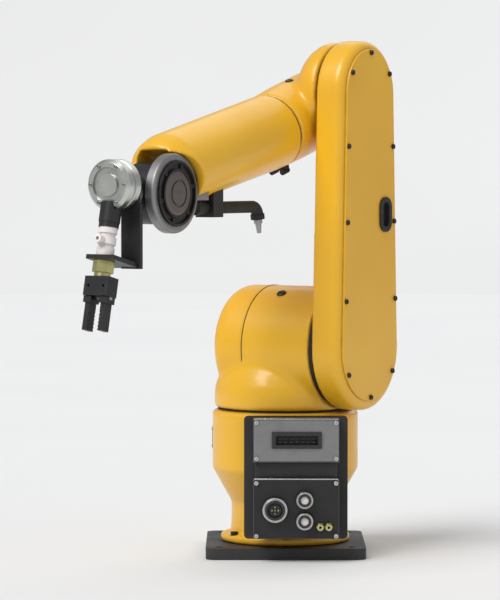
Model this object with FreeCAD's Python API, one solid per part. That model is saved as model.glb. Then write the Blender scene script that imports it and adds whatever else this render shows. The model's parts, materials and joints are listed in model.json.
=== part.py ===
import FreeCAD, Part
import os, math
from FreeCAD import Vector as V

# Small six-axis articulated robot arm with a two-finger gripper.
# Millimetres, +Z up. The origin is the centre of the base plate's mounting
# face; the first joint's axis is Z. The base is built in this frame. All that
# turns on the base is built with the arm reaching along +X and its joint
# axes along Y, and is then swung about Z by SWING to its rest heading.

os.makedirs("parts", exist_ok=True)

# ---- driving dimensions -------------------------------------------------
SWING = -123.0            # rest heading of the arm about Z, degrees

PLATE_W, PLATE_T = 230.0, 16.0      # square foot plate
PLATE_BOLT, PLATE_HOLE = 190.0, 11.0
PED_R, PED_TOP = 106.0, 208.4       # pedestal, upper part
PED_NECK_R = 79.0
PED_WALL = 12.0
J1_BORE = 60.0
SEAL1_TOP = 210.4
TUR_Z0 = 211.0                      # underside of the turret
SKIRT_R = 103.0

J2_Z = 300.0                        # shoulder axis height
DRUM_R = 88.0
DRUM_Y0, DRUM_Y1 = -80.0, 92.0
ARM_Y0, ARM_Y1 = 98.0, 142.0        # upper arm casting thickness
ARM_R_LOW, ARM_R_UP = 89.0, 76.0
LINK_A2 = 365.0                     # shoulder axis to elbow axis
J3_Z = J2_Z + LINK_A2

FORE_Y = 36.0                       # centre plane of forearm and wrist
ELBOW_R = 74.0
ELBOW_Y1 = 95.6                     # elbow's face next to the upper arm
ELBOW_BACK = 156.0                  # seam to the elbow's rear end
SEAM = V(98.0, FORE_Y, 611.0)       # centre of the roll joint's seam
J5_C = V(390.0, FORE_Y, 526.0)      # wrist centre
FORE_R0, FORE_R1 = 54.0, 52.0
WRIST_R = 54.0                      # grey fork arm
FAR_R = 39.0                        # fork arm on the other side
SLOT_H = 24.0                       # half width of the fork's slot
TILT_R, TILT_H = 42.0, 23.0
FLANGE_X = 455.0                    # tool flange face
FLANGE_R = 22.5

TOOL_C = V(483.0, 34.0, 517.0)      # head of the hanging tool stack
TOOL_LEAN = 13.0                    # forward lean of the stack, degrees
ADAPT_R = 34.0
JAW_GAP = 18.0                      # gap between the fingers at rest

# ---- helpers ------------------------------------------------------------
X, Y, Z = V(1, 0, 0), V(0, 1, 0), V(0, 0, 1)


def cyl(r, a, b):
    d = b.sub(a)
    return Part.makeCylinder(r, d.Length, a, d)


def cone(r1, r2, a, b):
    d = b.sub(a)
    return Part.makeCone(r1, r2, d.Length, a, d)


def ring(ro, ri, a, b):
    return cyl(ro, a, b).cut(cyl(ri, a, b))


def box(x0, x1, y0, y1, z0, z1):
    return Part.makeBox(x1 - x0, y1 - y0, z1 - z0, V(x0, y0, z0))


def spin(pts, origin, axis):
    """Solid of revolution; pts are (radius, distance along the axis)."""
    poly = [V(r, 0, t) for r, t in pts]
    face = Part.Face(Part.makePolygon(poly + [poly[0]]))
    s = face.revolve(V(0, 0, 0), Z, 360)
    s.Placement = FreeCAD.Placement(origin, FreeCAD.Rotation(Z, axis))
    return s


def join(*shapes):
    s = shapes[0].multiFuse(list(shapes[1:])) if len(shapes) > 1 else shapes[0]
    return s.removeSplitter()


def hexagon(af, a, b):
    d = b.sub(a)
    r = af / math.sqrt(3)
    pts = [V(r * math.cos(math.radians(60 * i)), r * math.sin(math.radians(60 * i)), 0) for i in range(7)]
    s = Part.Face(Part.makePolygon(pts)).extrude(V(0, 0, d.Length))
    s.Placement = FreeCAD.Placement(a, FreeCAD.Rotation(Z, d))
    return s


def oval(r0, r1, z0, z1, y0, y1):
    """Plate with two round ends of radii r0 (at z0) and r1 (at z1) and tangent
    sides, in the XZ plane, from y0 to y1."""
    length = z1 - z0
    a = math.asin((r0 - r1) / length)
    c, s = math.cos(a), math.sin(a)
    p0, p1 = V(r0 * c, y0, z0 + r0 * s), V(r1 * c, y0, z1 + r1 * s)
    q0, q1 = V(-p0.x, y0, p0.z), V(-p1.x, y0, p1.z)
    top = Part.Arc(p1, V(0, y0, z1 + r1), q1)
    low = Part.Arc(q0, V(0, y0, z0 - r0), p0)
    w = Part.Wire([Part.LineSegment(p0, p1).toShape(), top.toShape(),
                   Part.LineSegment(q1, q0).toShape(), low.toShape()])
    return Part.Face(w).extrude(V(0, y1 - y0, 0))


def rounded(shape, r, keep):
    """Round the edges for which keep(edge) is true."""
    edges = [e for e in shape.Edges if keep(e)]
    try:
        s = shape.makeFillet(r, edges)
        if s.isValid() and s.Volume > 0:
            return s
    except Exception as err:
        print("edge rounding left out:", err)
    return shape


def at_y(y):
    return lambda e: abs(e.BoundBox.YMin - y) < 1e-3 and abs(e.BoundBox.YMax - y) < 1e-3


def screw(p, out, d, length, head_d=None, head_h=None):
    """Socket head screw: p lies on the seat, out points to the head."""
    hd = head_d or 1.7 * d
    hh = head_h or 0.9 * d
    s = cyl(hd / 2, p, p + out * hh).fuse(cyl(d / 2, p - out * length, p))
    return s.cut(hexagon(0.8 * d, p + out * (hh * 0.45), p + out * (hh + 1)))


def screws(places, d, length, head_d=None, head_h=None):
    made = [screw(p, o, d, length, head_d, head_h) for p, o in places]
    holes = [cyl(d / 2, p - o * length, p + o * 0.01) for p, o in places]
    return Part.makeCompound(made), holes


def cut(shape, tools):
    for t in tools:
        shape = shape.cut(t)
    return shape


def circle_of(n, r, centre, axis, start=0.0):
    """n points on a circle of radius r about axis."""
    rot = FreeCAD.Rotation(Z, axis)
    out = []
    for i in range(n):
        a = math.radians(start + 360.0 * i / n)
        out.append(centre + rot.multVec(V(r * math.cos(a), r * math.sin(a), 0)))
    return out


def solids(shape):
    return shape.Solids


def export(name, shape, swung=True):
    s = shape.copy()
    if swung:
        s.rotate(V(0, 0, 0), Z, SWING)
    if len(s.Solids) == 1:
        s = s.Solids[0]
    else:
        s = Part.makeCompound(s.Solids)
    ok = all(q.isValid() for q in s.Solids)
    print("%-24s solids %2d  volume %10.0f  %s" % (name, len(s.Solids), s.Volume, "ok" if ok else "INVALID"))
    s.exportStep("parts/%s.step" % name)


# ---- base ---------------------------------------------------------------
h = PLATE_BOLT / 2
plate = box(-PLATE_W / 2, PLATE_W / 2, -PLATE_W / 2, PLATE_W / 2, 0, PLATE_T)
plate = rounded(plate, 14, lambda e: abs(e.BoundBox.ZLength - PLATE_T) < 1e-3)
plate = cut(plate, [cyl(PLATE_HOLE / 2, V(sx * h, sy * h, -1), V(sx * h, sy * h, 20)) for sx in (-1, 1) for sy in (-1, 1)])

foot = circle_of(6, 86, V(0, 0, 27), Z, 30)
base_screws, foot_holes = screws([(p, Z) for p in foot], 6, 22)
plate = cut(plate, foot_holes)
export("base_plate", plate, False)
export("base_screws", base_screws, False)

outer = spin([(0, 16), (94, 16), (94, 27), (PED_NECK_R, 29), (PED_NECK_R - 1, 73), (PED_R, 123), (PED_R, 204),
              (PED_R - 5, PED_TOP), (0, PED_TOP)], V(0, 0, 0), Z)
pad = box(-42, 42, -107, -60, 44, 196)
inner = spin([(0, 15), (66, 15), (66, 76), (PED_R - PED_WALL, 126), (PED_R - PED_WALL, 189), (0, 189)], V(0, 0, 0), Z)
ped = join(outer, pad).cut(inner).cut(cyl(J1_BORE, V(0, 0, 180), V(0, 0, 210)))
for a in range(6):      # relief so that the foot screws' heads stand clear of the wall
    ped = ped.cut(cyl(6.5, V(foot[a].x, foot[a].y, 27), V(foot[a].x, foot[a].y, 40)))
ped = cut(ped, foot_holes)
box_seats = [(V(sx * 30, -112, z), V(0, -1, 0)) for sx in (-1, 1) for z in (56, 186)]
box_screws, box_holes = screws(box_seats, 5, 20)
ped = cut(ped, box_holes)
ped = ped.cut(box(-22, 22, -108, -50, 90, 150))       # cable window to the connector box
export("pedestal_casting", ped, False)

export("j1_reducer", join(cyl(J1_BORE, V(0, 0, 176), V(0, 0, SEAL1_TOP)), ring(72, J1_BORE, V(0, 0, 176), V(0, 0, 189)))
       .cut(cyl(14, V(0, 0, 170), V(0, 0, 215))), False)
m = box(-32, 32, -32, 32, 62, 160)
m = join(rounded(m, 6, lambda e: abs(e.BoundBox.ZLength - 98) < 1e-3), cyl(28, V(0, 0, 40), V(0, 0, 62)),
         cyl(12, V(0, 0, 160), V(0, 0, 176)))
export("j1_motor", m, False)
export("j1_seal_ring", ring(98, 80, V(0, 0, PED_TOP), V(0, 0, SEAL1_TOP)), False)

# connector box on the front of the pedestal
back = box(-60, 88, -112, -107, 30, 206)
back = rounded(back, 6, lambda e: abs(e.BoundBox.YLength - 5) < 1e-3)
back = cut(back, box_holes).cut(box(-22, 22, -113, -106, 90, 150))
export("connector_backplate", back, False)
cb = join(box(-47, 75, -151, -112, 143, 204), box(-44, 72, -139, -112, 118, 143), box(-47, 75, -149, -112, 34, 118))
cav = join(box(-41, 69, -151, -116, 149, 198), box(-38, 66, -134, -111, 60, 182), box(-41, 69, -149, -116, 40, 112))
cb = cb.cut(cav)
seat_lugs = join(*[box(sx * 30 - 9, sx * 30 + 9, -116, -112, z - 9, z + 9) for sx in (-1, 1) for z in (56, 186)])
cb = join(cb, seat_lugs)
box_screws2, box_holes2 = screws([(V(p.x, -116, p.z), o) for p, o in box_seats], 5, 24)
cb = cut(cb, box_holes2)
export("connector_box_screws", box_screws2, False)
up = rounded(box(-46, 74, -155, -151, 145, 203), 4, lambda e: abs(e.BoundBox.YLength - 4) < 1e-3)
lo = rounded(box(-46, 74, -153, -149, 35, 117), 4, lambda e: abs(e.BoundBox.YLength - 4) < 1e-3)
ps = [(V(x, -155, z), V(0, -1, 0)) for x in (-42.5, 70.5) for z in (148.5, 199.5)]
ps += [(V(x, -153, z), V(0, -1, 0)) for x in (-42.5, 70.5) for z in (38.5, 113.5)]
panel_screws, panel_holes = screws(ps, 3, 7, 6, 2.4)
up, lo = cut(up, panel_holes), cut(lo, panel_holes)
export("connector_box", cut(cb, panel_holes), False)
PWR, SIG = V(-16, -153, 76), V(26, -153, 90)
SIG2 = V(26, -153, 60)
up = up.cut(box(-20, 50, -156, -150, 163, 186))       # window of the raised upper socket
lo = lo.cut(cyl(14, PWR + V(0, 5, 0), PWR - V(0, 5, 0)))
lo = cut(lo, [cyl(9, p + V(0, 5, 0), p - V(0, 5, 0)) for p in (SIG, SIG2)])
lo = cut(lo, [cyl(4.5, V(x, -148, 52), V(x, -156, 52)) for x in (48, 60)])
export("upper_panel", up, False)
export("lower_panel", lo, False)
export("panel_screws", panel_screws, False)
sock = box(-20, 50, -158, -140, 163, 186)
sock = sock.cut(box(-15, 45, -159, -146, 168, 181))
pins = [cyl(1.6, V(x, -146, z), V(x, -154, z)) for x in range(-9, 45, 8) for z in (172, 177)]
export("motor_socket", join(sock, *pins), False)
pw = join(cyl(14, PWR + V(0, 9, 0), PWR - V(0, 14, 0)), ring(17, 14, PWR, PWR - V(0, 4, 0)))
pw = pw.cut(cyl(10.5, PWR - V(0, 4, 0), PWR - V(0, 15, 0)))
pw = join(pw, *[cyl(1.5, PWR + V(dx, 0, dz), PWR + V(dx, -11, dz)) for dx, dz in ((5, 0), (-5, 0), (0, 5), (0, -5))])
export("power_connector", pw, False)
sg = []
for p in (SIG, SIG2):
    s1 = join(cyl(9, p + V(0, 9, 0), p - V(0, 16, 0)), ring(12, 9, p, p - V(0, 3.5, 0)))
    sg.append(s1.cut(cyl(6.5, p - V(0, 6, 0), p - V(0, 17, 0))))
export("signal_connectors", Part.makeCompound(sg), False)
ap = []
for x in (48, 60):
    p = V(x, -153, 52)
    s1 = join(cyl(4.5, p + V(0, 8, 0), p), hexagon(10, p, p - V(0, 5, 0)), cyl(4.6, p - V(0, 5, 0), p - V(0, 15, 0)))
    ap.append(s1.cut(cyl(2, p + V(0, 9, 0), p - V(0, 16, 0))))
export("air_ports", Part.makeCompound(ap), False)

# ---- turret -------------------------------------------------------------
drum = spin([(0, DRUM_Y0), (DRUM_R - 30, DRUM_Y0), (DRUM_R - 17, DRUM_Y0 + 3), (DRUM_R - 7, DRUM_Y0 + 10),
             (DRUM_R - 1.5, DRUM_Y0 + 19), (DRUM_R, DRUM_Y0 + 28), (DRUM_R, DRUM_Y1), (0, DRUM_Y1)], V(0, 0, J2_Z), Y)
skirt = spin([(0, TUR_Z0), (SKIRT_R - 3, TUR_Z0), (SKIRT_R, TUR_Z0 + 3), (SKIRT_R, TUR_Z0 + 22), (SKIRT_R - 2, TUR_Z0 + 34),
              (SKIRT_R - 7, TUR_Z0 + 47), (SKIRT_R - 15, TUR_Z0 + 60), (SKIRT_R - 26, TUR_Z0 + 74), (0, TUR_Z0 + 74)], V(0, 0, 0), Z)
tur = join(drum, skirt)
tur = tur.cut(box(-200, 200, 96.6, 200, 150, 400))      # flat beside the upper arm
tur = tur.cut(cyl(75, V(0, DRUM_Y0 + 14, J2_Z), V(0, 78, J2_Z)))
tur = tur.cut(cyl(58, V(0, 70, J2_Z), V(0, 95, J2_Z)))
tur = tur.cut(cyl(20, V(0, 0, TUR_Z0 - 1), V(0, 0, 240)))
tur = tur.cut(cyl(48, V(0, DRUM_Y0 - 1, J2_Z), V(0, DRUM_Y0 + 20, J2_Z)))
tur = tur.cut(cyl(62, V(0, -150, J2_Z), V(0, DRUM_Y0, J2_Z)))      # machined face round the end cover
tur = tur.cut(cyl(84.6, V(0, DRUM_Y1, J2_Z), V(0, 110, J2_Z)))         # recess of the seal ring
cover_pts = circle_of(6, 53, V(0, DRUM_Y0 - 5, J2_Z), V(0, -1, 0), 30)
shoulder_screws, shoulder_holes = screws([(p, V(0, -1, 0)) for p in cover_pts], 4, 14, 7.2, 2.6)
tur = cut(tur, shoulder_holes)
export("turret_casting", tur)
cov = spin([(0, 0), (60, 0), (60, 3), (58, 5), (0, 5)], V(0, DRUM_Y0, J2_Z), V(0, -1, 0))
cov = join(cov, cyl(47.6, V(0, DRUM_Y0, J2_Z), V(0, DRUM_Y0 + 4, J2_Z)))
cov = cov.cut(spin([(30, 2.2), (44, 2.2), (44, 6), (30, 6)], V(0, DRUM_Y0, J2_Z), V(0, -1, 0)))
export("shoulder_end_cover", cut(cov, shoulder_holes))
export("shoulder_cover_screws", shoulder_screws)
m = box(-34, 34, -58, 40, J2_Z - 34, J2_Z + 34)
m = join(rounded(m, 6, lambda e: abs(e.BoundBox.YLength - 98) < 1e-3), cyl(11, V(0, 40, J2_Z), V(0, 48, J2_Z)))
export("j2_motor", m)
export("j2_reducer", join(cyl(58, V(0, 48, J2_Z), V(0, DRUM_Y1, J2_Z)), ring(70, 58, V(0, 62, J2_Z), V(0, 78, J2_Z))))
export("j2_seal_ring", ring(84, 62, V(0, DRUM_Y1, J2_Z), V(0, ARM_Y0 - 0.5, J2_Z)))

# ---- upper arm ----------------------------------------------------------
arm = oval(ARM_R_LOW, ARM_R_UP, J2_Z, J3_Z, ARM_Y0, ARM_Y1)
arm = rounded(arm, 12, at_y(ARM_Y1))
arm = rounded(arm, 7, at_y(ARM_Y0))
arm = join(arm, cyl(42, V(0, DRUM_Y1 + 0.5, J2_Z), V(0, ARM_Y0 + 2, J2_Z)), cyl(42, V(0, ELBOW_Y1 + 0.5, J3_Z), V(0, ARM_Y0 + 2, J3_Z)))
pocket = oval(68, 57, J2_Z, J3_Z, ARM_Y0 + 10, ARM_Y1 + 5)
arm = arm.cut(pocket)
pts = [V(0, ARM_Y1 + 3, J2_Z - 64), V(0, ARM_Y1 + 3, J3_Z + 53)]
pts = []
for z, r, angs in ((J2_Z, 70, (210, 270, 330)), (J3_Z, 59, (30, 90, 150))):
    for a in angs:
        pts.append(V(r * math.cos(math.radians(a)), ARM_Y1 + 3, z + r * math.sin(math.radians(a))))
for z in (J2_Z + 70, J2_Z + 182, J2_Z + 290):
    w = 70 + (59 - 70) * (z - J2_Z) / LINK_A2
    pts += [V(w, ARM_Y1 + 3, z), V(-w, ARM_Y1 + 3, z)]
arm_screws, arm_holes = screws([(p, Y) for p in pts], 4, 12, 7.2, 2.6)
arm = cut(arm, arm_holes)
export("upper_arm_casting", arm)
acov = oval(75, 64, J2_Z, J3_Z, ARM_Y1, ARM_Y1 + 3)
acov = rounded(acov, 1.2, at_y(ARM_Y1 + 3))
acov = cut(acov, arm_holes)
GR = V(-40, ARM_Y1, 492)
grom_hole = box(GR.x - 13, GR.x + 13, ARM_Y1 - 12, ARM_Y1 + 4, GR.z - 22, GR.z + 22)
grom_hole = rounded(grom_hole, 12.5, lambda e: abs(e.BoundBox.YLength - 16) < 1e-3)
acov = acov.cut(grom_hole)
export("upper_arm_cover", acov)
g0 = rounded(box(GR.x - 13, GR.x + 13, ARM_Y1 - 6, ARM_Y1 + 3, GR.z - 22, GR.z + 22), 12.5,
             lambda e: abs(e.BoundBox.YLength - 9) < 1e-3)
g1 = rounded(box(GR.x - 16, GR.x + 16, ARM_Y1 + 3, ARM_Y1 + 5.5, GR.z - 25, GR.z + 25), 15,
             lambda e: abs(e.BoundBox.YLength - 2.5) < 1e-3)
g2 = rounded(box(GR.x - 9, GR.x + 9, ARM_Y1 - 2, ARM_Y1 + 6, GR.z - 18, GR.z + 18), 8.5,
             lambda e: abs(e.BoundBox.YLength - 8) < 1e-3)
export("cable_grommet", join(g0, g1).cut(g2))
export("arm_cover_screws", arm_screws)
export("j3_seal_ring", ring(66, 50, V(0, ELBOW_Y1 + 0.5, J3_Z), V(0, ARM_Y0, J3_Z)))

# ---- elbow (turns on the elbow axis) ------------------------------------
D4 = V(J5_C.x - SEAM.x, 0, J5_C.z - SEAM.z)
REACH = D4.Length                    # seam to wrist centre
D4 = D4 * (1.0 / REACH)
N4 = V(-D4.z, 0, D4.x)               # across the forearm, upwards
PL4 = FreeCAD.Placement(SEAM, FreeCAD.Rotation(N4, V(0, -1, 0), D4, "ZXY"))


def along(u, up=0.0, side=0.0):
    return SEAM + D4 * u + N4 * up + V(0, side, 0)


def disc(u, up, r):
    return Part.Wire([Part.makeCircle(r, along(u, up), D4)])


elb = spin([(0, ELBOW_Y1), (71, ELBOW_Y1), (ELBOW_R, ELBOW_Y1 - 3), (ELBOW_R, 84), (72, 75), (66.5, 65), (58, 56), (46, 49), (0, 49)],
           V(0, 0, J3_Z), Y)
neck = spin([(0, -ELBOW_BACK), (38, -ELBOW_BACK), (47, -ELBOW_BACK + 7), (52.5, -ELBOW_BACK + 16), (55.5, -ELBOW_BACK + 32),
             (55.5, -50), (FORE_R0, -2), (0, -2)], SEAM, D4)
elb = join(elb, neck)
elb = elb.cut(cyl(38.5, along(-ELBOW_BACK - 60), along(-ELBOW_BACK)))      # machined face of the rear end
elb = elb.cut(cyl(54, V(0, 76, J3_Z), V(0, 88, J3_Z)))
elb = elb.cut(cyl(45, V(0, 60, J3_Z), V(0, 100, J3_Z)))
elb = elb.cut(cyl(44, along(-ELBOW_BACK + 22), along(5)))
elb = elb.cut(cyl(24.5, V(0, 14, J3_Z), V(0, 62, J3_Z)))
elb = elb.cut(cyl(22, along(-ELBOW_BACK - 5), along(-ELBOW_BACK + 30)))
cap_pts = circle_of(4, 31, along(-ELBOW_BACK - 4), D4 * -1.0, 45)
elbow_screws, elbow_holes = screws([(p, D4 * -1.0) for p in cap_pts], 4, 8, 6.4, 2.6)
elb = cut(elb, elbow_holes)
if len(elb.Solids) > 1:
    elb = max(elb.Solids, key=lambda q: q.Volume)
export("elbow_housing", elb)
ecov = spin([(0, 0), (37.6, 0), (37.6, 2.8), (36.6, 4), (0, 4)], along(-ELBOW_BACK), D4 * -1.0)
ecov = join(ecov, cyl(21.7, along(-ELBOW_BACK), along(-ELBOW_BACK + 4)))
ecov = ecov.cut(spin([(16, 2), (27, 2), (27, 5), (16, 5)], along(-ELBOW_BACK), D4 * -1.0))
export("elbow_rear_cover", cut(ecov, elbow_holes))
export("elbow_cover_screws", elbow_screws)
m = box(-17, 17, 16, 54, J3_Z - 17, J3_Z + 17)
m = rounded(m, 4, lambda e: abs(e.BoundBox.YLength - 38) < 1e-3)
export("j3_motor", join(m, cyl(8, V(0, 54, J3_Z), V(0, 60, J3_Z))))
export("j3_reducer", join(cyl(45, V(0, 60, J3_Z), V(0, ELBOW_Y1, J3_Z)), ring(54, 45, V(0, 78, J3_Z), V(0, 88, J3_Z))))
export("j4_reducer", cyl(44, along(-26), along(-2)).cut(cyl(10, along(-27), along(0))))
m4 = Part.makeBox(46, 46, 30, V(-23, -23, -56))
m4 = rounded(m4, 5, lambda e: abs(e.BoundBox.ZLength - 30) < 1e-3)
m4.Placement = PL4
export("j4_motor", m4)
export("j4_seal_ring", ring(51, 44, along(-2), along(1.0)))
clip_c = along(-4, -55)
clip = ring(59, 53, along(-14), along(-4)).common(box(40, 140, FORE_Y - 14, FORE_Y + 14, 500, 590))
clip = join(clip, cyl(4.5, along(-16, -61, -9), along(-2, -61, -9)), cyl(4.5, along(-16, -61, 9), along(-2, -61, 9)))
clip = clip.cut(neck)
export("cable_clip", clip)

# ---- forearm (rolls on the forearm axis) --------------------------------
# the casting's own axis leaves the roll axis slightly upwards
AX4 = D4 * 262 + N4 * 19
AX4 = AX4 * (1.0 / AX4.Length)


def tapered(pts):
    return spin(pts, SEAM, AX4)


def behind(u):
    """Everything behind the plane across the roll axis at u."""
    b = Part.makeBox(400, 400, 200, V(-200, -200, u - 200))
    b.Placement = PL4
    return b


body = tapered([(0, -30), (FORE_R0, -30), (FORE_R0, 20), (FORE_R1, 262), (FORE_R1 - 4, 281), (FORE_R1 - 12, 294),
                (FORE_R1 - 24, 302), (0, 305)]).cut(behind(1.4))
C5 = J5_C


def y5(dy):
    return V(C5.x, FORE_Y + dy, C5.z)


far_arm = cyl(FAR_R, y5(-SLOT_H - 12), y5(-SLOT_H))
far_root = box(C5.x - 100, C5.x, FORE_Y - SLOT_H - 12, FORE_Y - SLOT_H, C5.z - 16, C5.z + 38)
fc = join(body, far_arm, far_root)
# slot for the tilting housing, open forwards, upwards and downwards
fc = fc.cut(cyl(58, y5(-SLOT_H), y5(SLOT_H)))
fc = fc.cut(box(C5.x + 2, C5.x + 120, FORE_Y - SLOT_H, FORE_Y + SLOT_H, C5.z - 120, C5.z + 160))
fc = fc.cut(box(C5.x - 40, C5.x + 120, FORE_Y - SLOT_H, FORE_Y + SLOT_H, C5.z - 120, C5.z))
# seat of the grey fork arm on the near side
fc = fc.cut(cyl(WRIST_R + 0.6, y5(SLOT_H - 8), y5(80)))
fc = fc.cut(box(C5.x, C5.x + 120, FORE_Y + SLOT_H - 8, FORE_Y + 90, C5.z - 120, C5.z + 40))
# nothing of the hood stands in front of the wrist axis
fc = fc.cut(box(C5.x + 2, C5.x + 120, FORE_Y - 90, FORE_Y + 90, C5.z + WRIST_R - 2, C5.z + 160))
hollow = tapered([(0, -10), (FORE_R0 - 9, -10), (FORE_R0 - 10, 90), (FORE_R1 - 9, 214), (0, 214)]).cut(behind(9.0))
fc = fc.cut(hollow).cut(cyl(20, along(-5), along(20)))
fork = cyl(WRIST_R, y5(SLOT_H), y5(SLOT_H + 14))
fork = rounded(fork, 4, at_y(FORE_Y + SLOT_H + 14))
tail_box = box(C5.x - 84, C5.x, FORE_Y + SLOT_H, FORE_Y + SLOT_H + 10, C5.z - 10, C5.z + 34)
fork = join(fork, tail_box)
fc = fc.cut(tail_box)
fork_pts = [V(C5.x - 66, FORE_Y + SLOT_H + 10, C5.z + 2), V(C5.x - 66, FORE_Y + SLOT_H + 10, C5.z + 24)]
# the fork arm's screws reach into the casting from the slot's side wall
fc_wall = box(C5.x - 84, C5.x - 58, FORE_Y + SLOT_H - 12, FORE_Y + SLOT_H, C5.z - 10, C5.z + 34)
axle = cyl(14.6, y5(-SLOT_H - 8), y5(SLOT_H + 10))
fc = fc.cut(cyl(14.6, y5(-SLOT_H - 8), y5(0)))
fork = fork.cut(cyl(14.6, y5(0), y5(SLOT_H + 10)))
fork = fork.cut(ring(44.5, 30, y5(SLOT_H + 11), y5(SLOT_H + 15)))
if len(fc.Solids) > 1:
    fc = max(fc.Solids, key=lambda q: q.Volume)
PIPE_Y, PIPE_Z, PIPE_R = 50.0, 505.0, 8.5
PIPE_X0, PIPE_X1 = 166.0, 304.0
fc = fc.cut(cyl(PIPE_R + 2.0, V(PIPE_X1 - 4, PIPE_Y, PIPE_Z), V(PIPE_X1 + 10, PIPE_Y, PIPE_Z)))
clamp = box(262, 286, PIPE_Y - 15, PIPE_Y + 15, PIPE_Z - 13, PIPE_Z + 34)
clamp = clamp.cut(cyl(PIPE_R, V(250, PIPE_Y, PIPE_Z), V(300, PIPE_Y, PIPE_Z)))
clamp = clamp.cut(body)
clamp = clamp.cut(cyl(58, y5(-60), y5(60)))
clamp = max(clamp.Solids, key=lambda q: q.Volume)
wrist_pts = circle_of(6, 37.2, y5(SLOT_H + 11), Y, 15)
wrist_screws, wrist_holes = screws([(p + Y * 3.0, Y) for p in wrist_pts], 3, 10, 5.6, 2.2)
fork = cut(fork, wrist_holes)
export("forearm_casting", fc)
export("fork_arm", fork)
bez = ring(44.2, 30.3, y5(SLOT_H + 11), y5(SLOT_H + 14))
bez = join(bez, ring(44.2, 41, y5(SLOT_H + 14), y5(SLOT_H + 17)), ring(33, 30.3, y5(SLOT_H + 14), y5(SLOT_H + 17)))
export("wrist_bezel", cut(bez, wrist_holes))
export("wrist_cover_screws", wrist_screws)
capw = spin([(0, 14), (30, 14), (30, 16.5), (26, 18.5), (0, 19)], y5(SLOT_H), Y)
capw = capw.cut(ring(19, 16, y5(SLOT_H + 17.2), y5(SLOT_H + 20)))
export("wrist_cap", capw)
export("j5_axle", axle)
m5 = Part.makeBox(44, 44, 70, V(-22, -22, 110))
m5 = rounded(m5, 5, lambda e: abs(e.BoundBox.ZLength - 70) < 1e-3)
m5.Placement = PL4
export("j5_motor", m5)
pipe_path = Part.Wire([Part.LineSegment(V(PIPE_X1, PIPE_Y, PIPE_Z), V(PIPE_X0, PIPE_Y, PIPE_Z)).toShape(),
                       Part.Arc(V(PIPE_X0, PIPE_Y, PIPE_Z),
                                V(PIPE_X0 - 14 * math.sin(math.radians(40)), PIPE_Y, PIPE_Z - 14 * (1 - math.cos(math.radians(40)))),
                                V(PIPE_X0 - 14 * math.sin(math.radians(80)), PIPE_Y, PIPE_Z - 14 * (1 - math.cos(math.radians(80))))).toShape()])
prof = Part.Wire([Part.makeCircle(PIPE_R, V(PIPE_X1, PIPE_Y, PIPE_Z), V(-1, 0, 0))])
pipe = pipe_path.makePipeShell([prof], True, True)
e = V(PIPE_X0 - 14 * math.sin(math.radians(80)), PIPE_Y, PIPE_Z - 14 * (1 - math.cos(math.radians(80))))
ed = V(-math.cos(math.radians(80)), 0, -math.sin(math.radians(80)))
pipe = join(pipe, cyl(PIPE_R + 1.5, e - ed * 1, e + ed * 6), cyl(PIPE_R + 1.5, V(PIPE_X1 - 2, PIPE_Y, PIPE_Z), V(PIPE_X1 + 8, PIPE_Y, PIPE_Z)))
export("air_pipe", pipe)
export("pipe_nozzle", join(cyl(6, e + ed * 6, e + ed * 12), cone(4.5, 3, e + ed * 12, e + ed * 26)))
export("pipe_clamp", clamp)

# ---- wrist tilt housing -------------------------------------------------
th = cyl(TILT_R, y5(-TILT_H), y5(TILT_H))
th = rounded(th, 3, lambda e: abs(e.BoundBox.YLength) < 1e-3)
snout = cyl(TILT_H - 0.5, V(C5.x, FORE_Y, C5.z), V(FLANGE_X - 12, FORE_Y, C5.z))
th = join(th, snout)
th = th.cut(cyl(15.0, y5(-30), y5(30)))
th = th.cut(cyl(13, V(C5.x + 22, FORE_Y, C5.z), V(FLANGE_X - 16, FORE_Y, C5.z)))
th = th.cut(cyl(6.4, V(C5.x + 30, FORE_Y, C5.z), V(FLANGE_X, FORE_Y, C5.z)))
export("tilt_housing", th)
export("j6_drive", cyl(13, V(C5.x + 22, FORE_Y, C5.z), V(FLANGE_X - 16, FORE_Y, C5.z)).cut(
    cyl(6.4, V(C5.x + 30, FORE_Y, C5.z), V(FLANGE_X, FORE_Y, C5.z))))

# ---- tool flange and gripper --------------------------------------------
fl = join(cyl(FLANGE_R, V(FLANGE_X - 10, FORE_Y, C5.z), V(FLANGE_X, FORE_Y, C5.z)),
          cyl(6, V(C5.x + 36, FORE_Y, C5.z), V(FLANGE_X - 9, FORE_Y, C5.z)))
fpts = circle_of(4, 15.75, V(FLANGE_X + 6, FORE_Y, C5.z), X, 45)
fl_screws, fl_holes = screws([(p, X) for p in fpts], 5, 13, 8.5, 5)
fl = cut(fl, fl_holes)
export("tool_flange", fl)
LEAN = -TOOL_LEAN


def lean(s):
    s = s.copy()
    s.rotate(TOOL_C, Y, LEAN)
    return s


def st(r, s0, s1, dx=0.0, dy=0.0):
    """Upright cylinder of the stack between distances s0 and s1 below its head."""
    return cyl(r, TOOL_C + V(dx, dy, -s1), TOOL_C + V(dx, dy, -s0))


def sb(x0, x1, y0, y1, s0, s1):
    return box(TOOL_C.x + x0, TOOL_C.x + x1, TOOL_C.y + y0, TOOL_C.y + y1, TOOL_C.z - s1, TOOL_C.z - s0)


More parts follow.
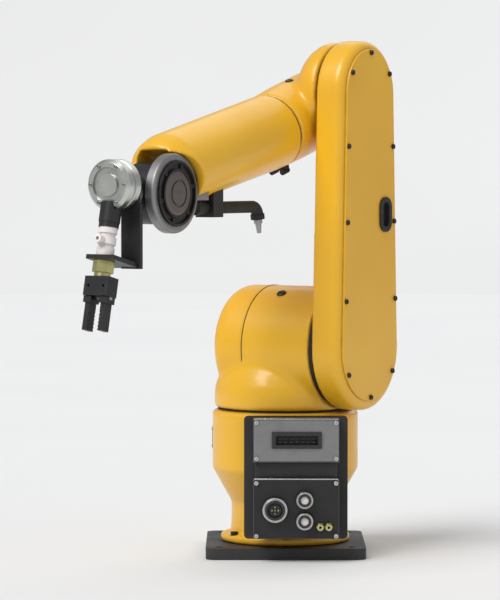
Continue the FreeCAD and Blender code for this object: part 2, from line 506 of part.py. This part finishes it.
AC = V(FLANGE_X + 6, 34, 538)
brk = join(box(FLANGE_X, FLANGE_X + 6, 10, 60, 500, 554), box(FLANGE_X, FLANGE_X + 6, 33, 64, 426, 512))
footp = sb(-50, 17, 16 - 34, 64 - 38, 76, 82)
footp = lean(footp).cut(box(0, FLANGE_X, -500, 500, 0, 900))
brk = join(brk, footp)
brk = cut(brk, fl_holes).cut(lean(st(8, 60, 100)))
export("tool_bracket", brk)
export("flange_screws", fl_screws)
ad = spin([(0, 0), (30, 0), (ADAPT_R, 3), (ADAPT_R, 13), (ADAPT_R - 2, 14), (ADAPT_R - 2, 17), (ADAPT_R, 18), (ADAPT_R, 29), (ADAPT_R - 4, 33),
           (0, 33)], AC, X)
ad = ad.cut(spin([(15, 30), (24, 30), (24, 34), (15, 34)], AC, X))
ad = cut(ad, [cyl(4.6, p - X * 0.5, p + X * 5.4) for p in fpts])
aps = [(V(AC.x + 33, p.y, p.z), X) for p in circle_of(6, 27.4, AC, X, 30)]
ad_screws, ad_holes = screws(aps, 3, 8, 4.6, 2.0)
ad = cut(ad, ad_holes)
ad_cyl = cyl(ADAPT_R, AC, AC + X * 33)
export("tool_adapter", ad)
export("adapter_screws", ad_screws)
col = join(st(14.4, 3, 30), st(13.5, 30, 37))
col = lean(col).cut(ad_cyl).cut(box(0, FLANGE_X + 6, -500, 500, 0, 900))
col = max(col.Solids, key=lambda q: q.Volume)
export("tool_collar", col)
wf = join(st(12.5, 37, 45), st(10.5, 45, 50), st(12.5, 50, 60), st(10.5, 60, 64), st(12, 64, 76), st(8, 76, 82))
elbow_f = join(cyl(5.5, TOOL_C + V(6, 0, -55), TOOL_C + V(22, 0, -55)))
wf = join(wf, elbow_f).cut(cyl(2.5, TOOL_C + V(12, 0, -55), TOOL_C + V(23, 0, -55)))
export("push_fittings", lean(wf))
nut = join(hexagon(25, TOOL_C + V(0, 0, -98), TOOL_C + V(0, 0, -84)), st(14, 82, 84), st(11, 98, 104))
export("clamp_nut", lean(nut))
gb = rounded(sb(-12, 12, -20, 20, 104, 130), 2.5, lambda e: abs(e.BoundBox.ZLength - 26) < 1e-3)
rail = sb(-3, 3, -19, 19, 130, 134)
gb = gb.cut(join(st(2.6, 108, 116, 0, 0), cyl(2.0, TOOL_C + V(8, -12, -117), TOOL_C + V(14, -12, -117)),
                 cyl(2.0, TOOL_C + V(8, 12, -117), TOOL_C + V(14, 12, -117))))
export("gripper_body", lean(gb))
export("guide_rail", lean(rail))


def jaw(sign):
    g = JAW_GAP / 2
    a, b = (g - 2.5, g + 9.5) if sign > 0 else (-g - 9.5, -g + 2.5)
    car = sb(-10, 10, a, b, 130.5, 139).cut(sb(-3.4, 3.4, -40, 40, 129, 134.4))
    a, b = (g, g + 7) if sign > 0 else (-g - 7, -g)
    blade = sb(-8, 8, a, b, 138, 176)
    tip = sb(-9, 9, 0, 60, 160, 200)
    s = join(car, blade)
    # grip grooves across the inner face
    inner = g if sign > 0 else -g
    for k in range(5):
        z = 152 + 5 * k
        s = s.cut(sb(-9, 9, inner - 0.8, inner + 0.8, z, z + 1.6))
    return lean(s)


export("finger_left", jaw(1))
export("finger_right", jaw(-1))
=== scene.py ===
import bpy, bmesh, math, json, random
import numpy as np
from mathutils import Vector, Matrix


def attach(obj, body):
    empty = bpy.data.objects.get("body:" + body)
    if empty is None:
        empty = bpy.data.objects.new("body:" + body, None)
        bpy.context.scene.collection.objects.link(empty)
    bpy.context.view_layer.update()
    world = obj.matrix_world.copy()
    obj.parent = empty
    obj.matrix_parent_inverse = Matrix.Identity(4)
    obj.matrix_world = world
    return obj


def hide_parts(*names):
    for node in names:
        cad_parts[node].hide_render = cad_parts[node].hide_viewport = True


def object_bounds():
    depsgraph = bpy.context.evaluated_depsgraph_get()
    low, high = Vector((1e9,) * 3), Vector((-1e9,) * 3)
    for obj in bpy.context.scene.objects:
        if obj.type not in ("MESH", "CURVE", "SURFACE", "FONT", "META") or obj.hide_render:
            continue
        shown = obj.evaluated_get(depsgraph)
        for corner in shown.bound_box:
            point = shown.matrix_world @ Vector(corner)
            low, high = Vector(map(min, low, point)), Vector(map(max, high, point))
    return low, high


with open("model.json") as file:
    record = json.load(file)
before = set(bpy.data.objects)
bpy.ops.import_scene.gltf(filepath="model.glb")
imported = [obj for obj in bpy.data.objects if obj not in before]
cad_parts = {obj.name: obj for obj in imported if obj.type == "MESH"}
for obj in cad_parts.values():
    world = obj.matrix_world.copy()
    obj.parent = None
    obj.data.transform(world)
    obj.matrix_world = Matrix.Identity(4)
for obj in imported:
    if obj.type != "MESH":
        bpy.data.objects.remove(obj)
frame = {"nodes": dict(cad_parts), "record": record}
NODES = frame["nodes"]
cad_box = [list(map(float, c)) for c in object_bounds()]
LO, HI = Vector(cad_box[0]), Vector(cad_box[1])
MID = (LO + HI) / 2
scene = bpy.context.scene
random.seed(7)
rng = np.random.default_rng(7)

# ------------------------------------------------------------------ camera
# Level with the arm, straight along +Y, far away: nearly no perspective.
ELEV = math.radians(2.5)
DIST = 4.8
target = Vector((MID.x + 0.004, 0.0, MID.z - 0.004))
cam_data = bpy.data.cameras.new("camera")
cam = bpy.data.objects.new("camera", cam_data)
scene.collection.objects.link(cam)
cam.location = target + Vector((0, -math.cos(ELEV), math.sin(ELEV))) * DIST
cam.rotation_euler = (target - cam.location).to_track_quat("-Z", "Y").to_euler()
cam_data.sensor_width = 36.0
cam_data.lens = 36.0 * DIST / 0.875
cam_data.clip_end = 60
scene.camera = cam
scene.view_settings.view_transform = "Standard"
scene.view_settings.look = "None"

# ------------------------------------------------------------------ helpers
PSI = math.radians(-123.0)
CP, SP = math.cos(PSI), math.sin(PSI)


def A(x, y, z):
    """Arm frame in mm (reach along +X, joint axes along Y) to the row frame in m."""
    return Vector((x * CP - y * SP, x * SP + y * CP, z)) / 1000


def Adir(x, y, z):
    return Vector((x * CP - y * SP, x * SP + y * CP, z)).normalized()


SEAM, C5 = Vector((98, 36, 611)), Vector((390, 36, 526))
D4 = (C5 - SEAM).normalized()
N4 = Vector((-D4.z, 0, D4.x))


def along(u, up=0.0, side=0.0):
    p = SEAM + D4 * u + N4 * up + Vector((0, side, 0))
    return A(*p)


def link(name, mesh, body, material, smooth=True):
    o = bpy.data.objects.new(name, mesh)
    scene.collection.objects.link(o)
    if smooth:
        for p in mesh.polygons:
            p.use_smooth = True
    mesh.materials.clear()
    mesh.materials.append(material)
    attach(o, body)
    return o


def basis(axis):
    z = axis.normalized()
    x = z.orthogonal().normalized()
    return x, z.cross(x).normalized(), z


def lathe(profile, origin, axis, n=64, closed=True):
    """Mesh of revolution; profile is (radius, distance along axis) in mm."""
    x, y, z = basis(axis)
    bm = bmesh.new()
    rings = []
    for r, t in profile:
        c = origin + z * (t / 1000)
        if r < 1e-6:
            rings.append([bm.verts.new(c)])
        else:
            rings.append([bm.verts.new(c + (x * math.cos(2 * math.pi * i / n) + y * math.sin(2 * math.pi * i / n)) * (r / 1000))
                          for i in range(n)])
    pairs = list(zip(rings, rings[1:]))
    if closed:
        pairs.append((rings[-1], rings[0]))
    for a, b in pairs:
        for i in range(n):
            j = (i + 1) % n
            q = []
            for v in (a[i % len(a)], a[j % len(a)], b[j % len(b)], b[i % len(b)]):
                if v not in q:
                    q.append(v)
            if len(q) >= 3:
                try:
                    bm.faces.new(q)
                except ValueError:
                    pass
    bmesh.ops.recalc_face_normals(bm, faces=bm.faces)
    me = bpy.data.meshes.new("lathe")
    bm.to_mesh(me)
    bm.free()
    return me


# ------------------------------------------------------------------ materials
class Mat:
    """Small builder for procedural materials in object space (metres)."""

    def __init__(self, name):
        self.m = bpy.data.materials.new(name)
        self.m.use_nodes = True
        self.t = self.m.node_tree
        self.t.nodes.clear()
        self.out = self.t.nodes.new("ShaderNodeOutputMaterial")
        self.b = self.t.nodes.new("ShaderNodeBsdfPrincipled")
        self.t.links.new(self.b.outputs[0], self.out.inputs[0])
        self.co = self.t.nodes.new("ShaderNodeTexCoord").outputs["Object"]

    def n(self, kind, **props):
        node = self.t.nodes.new(kind)
        for k, v in props.items():
            setattr(node, k, v)
        return node

    def set(self, **vals):
        for k, v in vals.items():
            self.b.inputs[k.replace("_", " ")].default_value = v

    def wire(self, a, b):
        self.t.links.new(a, b)

    def noise(self, scale, detail=3.0, rough=0.5, stretch=None):
        v = self.co
        if stretch:
            mp = self.n("ShaderNodeMapping")
            mp.inputs["Scale"].default_value = stretch
            self.wire(v, mp.inputs["Vector"])
            v = mp.outputs[0]
        t = self.n("ShaderNodeTexNoise")
        t.inputs["Scale"].default_value = scale
        t.inputs["Detail"].default_value = detail
        t.inputs["Roughness"].default_value = rough
        self.wire(v, t.inputs["Vector"])
        return t.outputs["Fac"]

    def span(self, fac, a0, a1, b0, b1):
        r = self.n("ShaderNodeMapRange")
        r.inputs["From Min"].default_value = a0
        r.inputs["From Max"].default_value = a1
        r.inputs["To Min"].default_value = b0
        r.inputs["To Max"].default_value = b1
        self.wire(fac, r.inputs["Value"])
        return r.outputs["Result"]

    def mix(self, fac, a, b, mode="MIX"):
        x = self.n("ShaderNodeMix", data_type="RGBA", blend_type=mode)
        if isinstance(fac, float):
            x.inputs[0].default_value = fac
        else:
            self.wire(fac, x.inputs[0])
        for s, c in ((x.inputs[6], a), (x.inputs[7], b)):
            if isinstance(c, tuple):
                s.default_value = (*c, 1.0)
            else:
                self.wire(c, s)
        return x.outputs[2]

    def math(self, op, a, b=None):
        x = self.n("ShaderNodeMath", operation=op)
        for s, v in ((x.inputs[0], a), (x.inputs[1], b)):
            if v is None:
                continue
            if isinstance(v, (int, float)):
                s.default_value = v
            else:
                self.wire(v, s)
        return x.outputs[0]

    def edges(self, radius=0.0012, lo=0.02, hi=0.16):
        """1 on convex and concave edges, 0 on flat surface."""
        bv = self.n("ShaderNodeBevel")
        bv.samples = 4
        bv.inputs["Radius"].default_value = radius
        g = self.n("ShaderNodeNewGeometry")
        d = self.n("ShaderNodeVectorMath", operation="DOT_PRODUCT")
        self.wire(bv.outputs[0], d.inputs[0])
        self.wire(g.outputs["Normal"], d.inputs[1])
        inv = self.math("SUBTRACT", 1.0, d.outputs["Value"])
        return bv.outputs[0], self.span(inv, lo, hi, 0.0, 1.0)

    def corner_shade(self, distance=0.012):
        # painted shade mask: 1 in corners and recesses found by ambient occlusion, 0 on open surface; the materials
        # darken their colour with it
        ao = self.n("ShaderNodeAmbientOcclusion")
        ao.samples = 6
        ao.inputs["Distance"].default_value = distance
        return self.span(ao.outputs["AO"], 0.35, 0.95, 1.0, 0.0)

    def bump(self, height, strength, distance, normal=None):
        b = self.n("ShaderNodeBump")
        b.inputs["Strength"].default_value = strength
        b.inputs["Distance"].default_value = distance
        self.wire(height, b.inputs["Height"])
        if normal is not None:
            self.wire(normal, b.inputs["Normal"])
        return b.outputs[0]

    def color(self, c):
        if isinstance(c, tuple):
            self.b.inputs["Base Color"].default_value = (*c, 1.0)
        else:
            self.wire(c, self.b.inputs["Base Color"])


def paint(name, c0, c1, worn, rough=(0.30, 0.44), edge=0.0015, coat=0.25, peel=0.10):
    """Sprayed enamel on a casting: slight shade change, orange peel, painted shade in corners broken up by noise, thin
    wear on edges.
    """
    m = Mat(name)
    bevel, e = m.edges(edge)
    big = m.span(m.noise(5.0, 2.0), 0.35, 0.65, 0.0, 1.0)
    base = m.mix(big, c0, c1)
    speck = m.span(m.noise(420.0, 2.0), 0.64, 0.74, 0.0, 0.10)
    base = m.mix(speck, base, tuple(x * 0.6 for x in c1))
    # painted shade: ambient-occlusion darkening in corners and recesses, broken up by noise
    corner_shade_mottled = m.math("MULTIPLY", m.corner_shade(0.010), m.span(m.noise(60.0, 4.0), 0.3, 0.7, 0.35, 0.8))
    base = m.mix(corner_shade_mottled, base, tuple(x * 0.34 + 0.01 for x in c1))
    wear = m.math("MULTIPLY", e, m.span(m.noise(170.0, 5.0, 0.65), 0.52, 0.66, 0.0, 0.55))
    base = m.mix(wear, base, worn)
    m.color(base)
    m.wire(m.span(m.noise(26.0, 4.0), 0.3, 0.7, *rough), m.b.inputs["Roughness"])
    peelh = m.math("ADD", m.noise(520.0, 2.0), m.math("MULTIPLY", m.noise(95.0, 3.0), 1.6))
    m.wire(m.bump(peelh, peel, 0.0004, bevel), m.b.inputs["Normal"])
    m.set(Coat_Weight=coat, Coat_Roughness=0.12, Specular_IOR_Level=0.5)
    return m.m


def metal(name, c, rough=(0.25, 0.4), grain=(1, 1, 40), edge=0.0007, metallic=1.0, dark=0.6, bright=1.35, strength=0.12):
    """Machined metal: directional grain, smudges, painted shade in corners, brighter edges."""
    m = Mat(name)
    bevel, e = m.edges(edge)
    g = m.noise(90.0, 3.0, 0.6, grain)
    smudge = m.span(m.noise(38.0, 5.0), 0.35, 0.7, 0.0, 1.0)
    base = m.mix(smudge, c, tuple(x * 0.86 for x in c))
    base = m.mix(m.span(g, 0.35, 0.65, 0.0, 0.25), base, tuple(x * 0.7 for x in c))
    # painted shade: colour darkened in corners and recesses, scaled by dark
    base = m.mix(m.math("MULTIPLY", m.corner_shade(0.006), dark), base, tuple(x * 0.25 for x in c))
    base = m.mix(m.math("MULTIPLY", e, 0.5), base, tuple(min(1.0, x * bright) for x in c))
    m.color(base)
    r = m.math("ADD", m.span(m.noise(55.0, 4.0), 0.3, 0.7, *rough), m.span(g, 0.3, 0.7, -0.03, 0.05))
    m.wire(r, m.b.inputs["Roughness"])
    m.wire(m.bump(g, strength, 0.00012, bevel), m.b.inputs["Normal"])
    m.set(Metallic=metallic)
    return m.m


def plastic(name, c, rough=(0.45, 0.6), scale=900.0, strength=0.16, edge=0.0006, lift=0.05, spec=0.45):
    """Moulded plastic or rubber with a fine spark-eroded grain."""
    m = Mat(name)
    bevel, e = m.edges(edge)
    base = m.mix(m.span(m.noise(30.0, 4.0), 0.35, 0.65, 0.0, 1.0), c, tuple(x * 1.25 + 0.002 for x in c))
    base = m.mix(m.math("MULTIPLY", e, 0.5), base, tuple(min(1.0, x + lift) for x in c))
    # painted shade: colour darkened a little in corners and recesses
    corner_shade_amount = m.math("MULTIPLY", m.corner_shade(0.006), 0.25)
    base = m.mix(corner_shade_amount, base, tuple(x * 0.5 + 0.03 for x in c))
    m.color(base)
    m.wire(m.span(m.noise(70.0, 4.0), 0.3, 0.7, *rough), m.b.inputs["Roughness"])
    m.wire(m.bump(m.noise(scale, 2.0), strength, 0.0002, bevel), m.b.inputs["Normal"])
    m.set(Specular_IOR_Level=spec)
    return m.m


YELLOW = paint("yellow_enamel", (0.86, 0.475, 0.016), (0.80, 0.42, 0.013), (0.30, 0.24, 0.15))
DARKPAINT = paint("dark_powder_coat", (0.030, 0.029, 0.030), (0.022, 0.021, 0.022), (0.16, 0.15, 0.15), rough=(0.5, 0.65), coat=0.0, peel=0.35)
ALU = metal("satin_aluminium", (0.50, 0.50, 0.49), rough=(0.30, 0.44))
ALU_TOOL = metal("turned_aluminium", (0.60, 0.62, 0.57), rough=(0.24, 0.38), grain=(30, 30, 1))
ALU_GREY = metal("grey_cast_aluminium", (0.33, 0.32, 0.32), rough=(0.42, 0.55), grain=(1, 1, 1), strength=0.3)
ANOD = metal("black_anodised", (0.035, 0.034, 0.036), rough=(0.36, 0.5), metallic=0.55, bright=4.0)
BROWN = metal("bronzed_cap", (0.16, 0.135, 0.125), rough=(0.3, 0.45), metallic=0.8, bright=1.8)
RUBBER = plastic("black_rubber", (0.016, 0.015, 0.015), rough=(0.6, 0.78), scale=600.0)
BLACKPL = plastic("black_plastic", (0.022, 0.021, 0.022), rough=(0.35, 0.5))
WHITEPL = plastic("white_plastic", (0.72, 0.67, 0.65), rough=(0.3, 0.42), scale=1200.0, strength=0.06, lift=0.1)
SCREW = metal("blackened_screws", (0.06, 0.058, 0.06), rough=(0.3, 0.42), bright=3.0, grain=(1, 1, 1))
STEEL = metal("ground_steel", (0.42, 0.42, 0.43), rough=(0.22, 0.35))
MOTOR = metal("motor_housing", (0.06, 0.06, 0.065), rough=(0.4, 0.5), metallic=0.6, bright=2.0)
BRASS = metal("yellow_brass", (0.62, 0.58, 0.25), rough=(0.24, 0.36), grain=(1, 1, 12))
TIP = metal("grey_nozzle", (0.36, 0.36, 0.38), rough=(0.3, 0.4))

BY_SLOT = {"yellow_paint": YELLOW, "dark_paint": DARKPAINT, "grey_aluminium": ALU, "black_anodised": ANOD, "black_rubber": RUBBER,
           "black_plastic": BLACKPL, "white_plastic": WHITEPL, "steel_screws": SCREW, "steel_drive": STEEL, "motor_housing": MOTOR,
           "brass": BRASS, "grey_tip": TIP}
# connector box and its upper panel: their own grey metal, darkened further as painted shade for the shadow under the
# drum
BOX_GREY_WITH_SHADE = metal("box_grey_cast_painted_shade", (0.20, 0.195, 0.195), rough=(0.36, 0.5), grain=(1, 1, 1), strength=0.25, metallic=0.8)
PANEL_GREY_WITH_SHADE = metal("brushed_panel_painted_shade", (0.30, 0.295, 0.295), rough=(0.30, 0.42), grain=(2, 2, 60), metallic=0.9)
NICKEL = metal("nickel_rings", (0.66, 0.65, 0.63), rough=(0.2, 0.32), grain=(1, 1, 1))
BEZEL = metal("bezel_dark", (0.030, 0.027, 0.026), rough=(0.3, 0.44), metallic=0.6, bright=3.0)
BY_NODE = {"tool_adapter": ALU_TOOL, "fork_arm": ALU_GREY, "wrist_cap": BROWN, "tool_flange": STEEL, "connector_box": BOX_GREY_WITH_SHADE,
           "upper_panel": PANEL_GREY_WITH_SHADE, "wrist_bezel": BEZEL, "panel_screws": NICKEL, "adapter_screws": STEEL}
for sp in frame["record"]["subparts"]:
    o = NODES[sp["node"]]
    o.data.materials.clear()
    o.data.materials.append(BY_NODE.get(sp["node"], BY_SLOT[sp["material_slot"]]))
BODY = {n: b for b, ns in frame["record"]["behaviour"]["bodies"].items() for n in ns}


# ------------------------------------------------------------------ castings
def cast(node, voxel, passes, material, keep=None, fill=0, lam=0.5):
    """A casting with its moulded radii: the CAD solid is resampled evenly, then its edges and inner
    corners are rounded by local averaging. keep(co) gives 0 where a machined face stays as it is."""
    src = NODES[node]
    me = src.data.copy()
    tmp = bpy.data.objects.new(node + "_tmp", me)
    scene.collection.objects.link(tmp)
    md = tmp.modifiers.new("r", "REMESH")
    md.mode = "VOXEL"
    md.voxel_size = voxel
    md.adaptivity = 0.0
    dg = bpy.context.evaluated_depsgraph_get()
    new = bpy.data.meshes.new_from_object(tmp.evaluated_get(dg))
    bpy.data.objects.remove(tmp)
    bpy.data.meshes.remove(me)
    n = len(new.vertices)
    co = np.empty(n * 3)
    new.vertices.foreach_get("co", co)
    co = co.reshape(-1, 3)
    ed = np.empty(len(new.edges) * 2, np.int64)
    new.edges.foreach_get("vertices", ed)
    e0, e1 = ed[0::2], ed[1::2]
    deg = np.bincount(e0, minlength=n) + np.bincount(e1, minlength=n)
    deg = np.maximum(deg, 1)

    def avg(a):
        out = np.empty_like(a)
        for k in range(a.shape[1]):
            out[:, k] = (np.bincount(e0, weights=a[e1, k], minlength=n) + np.bincount(e1, weights=a[e0, k], minlength=n)) / deg
        return out

    w = np.ones(n) if keep is None else keep(co)
    w = w[:, None]
    for _ in range(passes):
        co = co + lam * w * (avg(co) - co)
    if fill:
        # deepen the inner corners only: move where the averaging pushes outwards
        new.vertices.foreach_set("co", co.ravel())
        new.update()
        nr = np.empty(n * 3)
        new.vertices.foreach_get("normal", nr)
        nr = nr.reshape(-1, 3)
        for _ in range(fill):
            d = avg(co) - co
            out = np.clip((d * nr).sum(1, keepdims=True), 0, None)
            co = co + 0.5 * w * (nr * out + (d - nr * (d * nr).sum(1, keepdims=True)) * 0.5)
    new.vertices.foreach_set("co", co.ravel())
    new.update()
    o = link(node + "_cast", new, BODY[node], material)
    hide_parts(node)
    return o


cast("turret_casting", 0.0022, 8, YELLOW, fill=60)
cast("pedestal_casting", 0.0022, 6, YELLOW, fill=20)
cast("elbow_housing", 0.0020, 8, YELLOW, fill=60)
cast("forearm_casting", 0.0020, 6, YELLOW, fill=16)
cast("upper_arm_casting", 0.0022, 5, YELLOW)

# ------------------------------------------------------------------ detail pieces
def smooth_by_angle(o, deg=32):
    me = o.data
    lim = math.cos(math.radians(deg))
    bm = bmesh.new()
    bm.from_mesh(me)
    for e in bm.edges:
        if len(e.link_faces) == 2 and e.link_faces[0].normal.dot(e.link_faces[1].normal) < lim:
            e.smooth = False
    bm.to_mesh(me)
    bm.free()


def turned(name, profile, origin, axis, body, material, n=64, closed=True, deg=32):
    o = link(name, lathe(profile, origin, axis, n, closed), body, material)
    smooth_by_angle(o, deg)
    return o


def rounded_bar(name, size, centre, frame3, body, material, r=1.5, seg=3):
    """Box in mm with rounded edges, on three axes (columns of frame3)."""
    bm = bmesh.new()
    bmesh.ops.create_cube(bm, size=1.0)
    for v in bm.verts:
        v.co = Vector((v.co.x * size[0], v.co.y * size[1], v.co.z * size[2]))
    bmesh.ops.bevel(bm, geom=list(bm.edges), offset=r, segments=seg, profile=0.5, affect="EDGES")
    for v in bm.verts:
        v.co = centre + (frame3[0] * v.co.x + frame3[1] * v.co.y + frame3[2] * v.co.z) / 1000
    bmesh.ops.recalc_face_normals(bm, faces=bm.faces)
    me = bpy.data.meshes.new(name)
    bm.to_mesh(me)
    bm.free()
    o = link(name, me, body, material)
    smooth_by_angle(o)
    return o


def merged(name, meshes, body, material, deg=32):
    bm = bmesh.new()
    for me in meshes:
        bm.from_mesh(me)
        bpy.data.meshes.remove(me)
    me = bpy.data.meshes.new(name)
    bm.to_mesh(me)
    bm.free()
    o = link(name, me, body, material)
    smooth_by_angle(o, deg)
    return o


ROW = (Vector((1, 0, 0)), Vector((0, 1, 0)), Vector((0, 0, 1)))
FRONT = Vector((0, -1, 0))


def P(x, y, z):
    return Vector((x, y, z)) / 1000


# dark insert in the groove between the two blocks of the connector box: painted shade, a black strip standing in for
# the shadow in the groove
rounded_bar("box_groove_painted_shade", (115.6, 1.6, 22.0), P(14, -139.6, 130.5), ROW, "base", BLACKPL, 0.6)
# light strips along the top edges of the two blocks: painted highlights standing in for the light caught on those
# edges
rounded_bar("upper_block_painted_highlight", (119.0, 1.2, 2.2), P(14, -152.2, 204.2), ROW, "base", NICKEL, 0.5)
rounded_bar("lower_block_painted_highlight", (119.0, 1.4, 2.4), P(14, -150.4, 118.9), ROW, "base", NICKEL, 0.5)
# coupling rings on the connectors, and knurled collars
PWR, SIGS = P(-16, -153, 76), (P(26, -153, 90), P(26, -153, 60))
turned("power_ring", [(14.2, 5), (17.2, 5), (17.8, 5.8), (17.8, 9.2), (17.2, 10), (15.5, 10), (15.2, 12), (14.2, 12)], PWR, FRONT,
       "base", NICKEL)
turned("power_insert", [(0, 3.0), (9.9, 3.0), (9.9, 9.5), (8.8, 10.2), (0, 10.2)], PWR, FRONT, "base", BLACKPL)
for k, c in enumerate(SIGS):
    turned("signal_ring_%d" % k, [(9.15, 4.4), (11.2, 4.4), (11.7, 5), (11.7, 12), (11.2, 12.6), (9.15, 12.6)], c, FRONT, "base",
           NICKEL)
    turned("signal_insert_%d" % k, [(0, 6.5), (6.1, 6.5), (6.1, 12.2), (5.2, 12.8), (0, 12.8)], c, FRONT, "base", WHITEPL)
    ridges = [lathe([(0.0, 5.2), (0.55, 5.2), (0.55, 11.8), (0.0, 11.8)], c + Vector((math.cos(a), 0, math.sin(a))) * 0.01175, FRONT, 8, False)
              for a in [2 * math.pi * i / 30 for i in range(30)]]
    merged("signal_knurl_%d" % k, ridges, "base", NICKEL)
# contact pins of the power connector
merged("power_pins", [lathe([(0, 10.0), (1.3, 10.0), (1.3, 12.6), (0.8, 13.2), (0, 13.2)], PWR + Vector((dx, 0, dz)) / 1000, FRONT, 16, False)
                      for dx, dz in ((4.5, 0), (-4.5, 0), (0, 4.5), (0, -4.5), (0, 0))], "base", BRASS)

# blank rating plate on the pedestal's left side, riveted, no lettering
def curved_plate(name, radius, thick, a0, a1, z0, z1, body, material, n=24):
    bm = bmesh.new()
    outer, inner = [], []
    for i in range(n + 1):
        a = a0 + (a1 - a0) * i / n
        d = Vector((math.cos(a), math.sin(a), 0))
        outer.append([bm.verts.new(d * (radius + thick) / 1000 + Vector((0, 0, z / 1000))) for z in (z0, z1)])
        inner.append([bm.verts.new(d * (radius - 0.4) / 1000 + Vector((0, 0, z / 1000))) for z in (z0, z1)])
    for i in range(n):
        bm.faces.new((outer[i][0], outer[i + 1][0], outer[i + 1][1], outer[i][1]))
        bm.faces.new((inner[i][1], inner[i + 1][1], inner[i + 1][0], inner[i][0]))
        for k in (0, 1):
            q = (outer[i][k], inner[i][k], inner[i + 1][k], outer[i + 1][k])
            bm.faces.new(q)
    for i in (0, n):
        bm.faces.new((outer[i][0], outer[i][1], inner[i][1], inner[i][0]))
    bmesh.ops.recalc_face_normals(bm, faces=bm.faces)
    me = bpy.data.meshes.new(name)
    bm.to_mesh(me)
    bm.free()
    o = link(name, me, body, material)
    smooth_by_angle(o)
    return o


aL = math.radians(168)
curved_plate("rating_plate_blank", 106.0, 0.7, aL - 0.24, aL + 0.24, 150, 182, "base", ALU)
rv = []
for da in (-0.21, 0.21):
    for z in (154, 178):
        d = Vector((math.cos(aL + da), math.sin(aL + da), 0))
        rv.append(lathe([(0, 0.3), (1.7, 0.3), (1.7, 1.0), (1.2, 1.6), (0.6, 1.85), (0, 1.9)], d * 0.106 + Vector((0, 0, z / 1000)), d, 20, False))
merged("rating_plate_rivets", rv, "base", NICKEL)

# seam round the shoulder drum: a raised joint band with its sealed groove
JZ = Vector((0, 0, 0.300))
ay = Adir(0, 1, 0)
turned("drum_joint_band", [(86.5, -22.6), (88.5, -22.4), (88.9, -21.8), (88.9, -20.4), (88.5, -19.8), (86.5, -19.6)], JZ, ay, "turret",
       YELLOW, n=144)
turned("drum_joint_seal", [(86.5, -19.7), (88.25, -19.6), (88.25, -18.7), (86.5, -18.6)], JZ, ay, "turret", RUBBER, n=144)


def plug(name, origin, axis, body, r=7.0, h=2.4):
    """Blind plug screwed into a casting: hexagon socket in a chamfered disc."""
    me = lathe([(0, 0.6 * h), (r * 0.42, 0.6 * h), (r * 0.48, h), (r * 0.86, h), (r, h * 0.7), (r, -1.0), (0, -1.0)], origin, axis, 48, False)
    o = link(name, me, body, SCREW)
    smooth_by_angle(o)
    return o


# oil plugs: two on the turret's drum and two on the elbow
for k, (ang, y) in enumerate(((62, 20), (118, 20))):
    a = math.radians(ang)
    d = Adir(math.cos(a), 0, math.sin(a))
    plug("drum_plug_%d" % k, JZ + A(0, y, 0) + d * 0.0878, d, "turret")
d = Vector(A(*N4)).normalized()
plug("elbow_plug", along(-70, 55.0), d, "elbow", 6.0)
plug("elbow_plug_side", along(-60, 0, -55.2), Adir(0, -1, 0), "elbow", 6.0)

# ------------------------------------------------------------------ stage
def revolved(name, prof, n=96):
    """Surface of revolution about Z from (radius, height) in metres."""
    bm = bmesh.new()
    rings = [[bm.verts.new((r * math.cos(2 * math.pi * i / n), r * math.sin(2 * math.pi * i / n), z)) for i in range(n)] for r, z in prof]
    for p, q in zip(rings, rings[1:]):
        for i in range(n):
            bm.faces.new((p[i], p[(i + 1) % n], q[(i + 1) % n], q[i]))
    if prof[0][1] == prof[-1][1]:
        bm.faces.new(list(reversed(rings[0])))
    me = bpy.data.meshes.new(name)
    bm.to_mesh(me)
    bm.free()
    for p in me.polygons:
        p.use_smooth = True
    o = bpy.data.objects.new(name, me)
    scene.collection.objects.link(o)
    return o


FLOOR_R, FLOOR_Z = 9.0, -0.0005
floor = revolved("studio_floor", [(0.6, FLOOR_Z), (2.0, FLOOR_Z), (5.0, FLOOR_Z), (FLOOR_R, FLOOR_Z)])
m = Mat("studio_floor")
m.color(m.mix(m.span(m.noise(1.2, 2.0), 0.4, 0.6, 0.0, 1.0), (0.81, 0.81, 0.805), (0.80, 0.80, 0.795)))
m.set(Roughness=0.8, Specular_IOR_Level=0.2)
floor.data.materials.append(m.m)
wall = revolved("studio_backdrop", [(FLOOR_R, FLOOR_Z)] + [(FLOOR_R + 3 * math.sin(a), FLOOR_Z + 3 - 3 * math.cos(a))
                for a in [math.radians(9 * i) for i in range(1, 11)]] + [(FLOOR_R + 3, 12.0)])
m = Mat("studio_backdrop")
m.color(m.mix(m.span(m.noise(0.6, 2.0), 0.4, 0.6, 0.0, 1.0), (0.40, 0.40, 0.40), (0.39, 0.39, 0.39)))
m.set(Roughness=0.9, Specular_IOR_Level=0.0, Emission_Color=(1.0, 1.0, 1.0, 1.0), Emission_Strength=0.40)
wall.data.materials.append(m.m)
wall.visible_shadow = False
wall.visible_diffuse = False
wall.visible_glossy = False


def sun(name, toward, strength, angle, color=(1, 1, 1)):
    """Large soft source far away, so that it lights the whole stage evenly."""
    d = bpy.data.lights.new(name, "SUN")
    d.energy = strength
    d.angle = math.radians(angle)
    d.color = color
    o = bpy.data.objects.new(name, d)
    scene.collection.objects.link(o)
    o.location = Vector(toward) * 3
    o.rotation_euler = Vector(toward).to_track_quat("Z", "Y").to_euler()


sun("key", (-0.50, -0.54, 0.85), 2.35, 34)
sun("fill", (0.85, -0.55, 0.40), 0.28, 70)
sun("rim", (0.35, 0.80, 0.60), 0.45, 50)
world = bpy.data.worlds.new("studio")
world.use_nodes = True
world.node_tree.nodes["Background"].inputs[0].default_value = (0.95, 0.97, 1.0, 1)
world.node_tree.nodes["Background"].inputs[1].default_value = 0.42
scene.world = world
